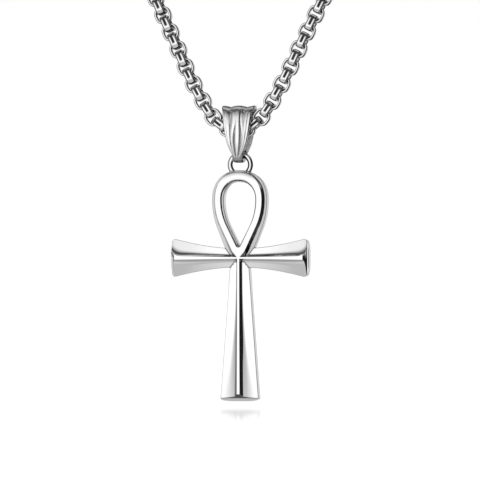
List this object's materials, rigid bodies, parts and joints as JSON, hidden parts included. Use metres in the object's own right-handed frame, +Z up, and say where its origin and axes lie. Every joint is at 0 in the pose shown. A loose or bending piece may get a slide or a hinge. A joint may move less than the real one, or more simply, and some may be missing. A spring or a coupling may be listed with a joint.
{
  "type": "ankh pendant necklace",
  "caption": "Ankh pendant with ridged, flared arms and a ridged shaft, whose soldered eye ring hangs in a fluted bail on a box chain that closes at a clasp behind the neck.",
  "frame": {"origin": "middle of the chain at the nape of the neck, where the clasp is", "axes": "+Z up, the pendant's front faces -Y, +X to the right seen from the front"},
  "size_m": [0.1344, 0.1102, 0.2614],
  "materials": {
    "steel": "polished"
  },
  "bodies": {
    "chain": {"chain_front": "steel", "chain_back": "steel", "clasp": "steel"},
    "bail": {"bail": "steel"},
    "ankh": {"ankh": "steel"}
  },
  "joints": [
    {"name": "bail_swing", "type": "hinge", "parent": "chain", "child": "bail", "pos_m": [0.0005, -0.106, -0.2112], "axis": [1, 0, 0], "range_deg": [-30, 30]},
    {"name": "pendant_swing", "type": "hinge", "parent": "bail", "child": "ankh", "pos_m": [0.0005, -0.106, -0.21612], "axis": [1, 0, 0], "range_deg": [-75, 75]}
  ]
}
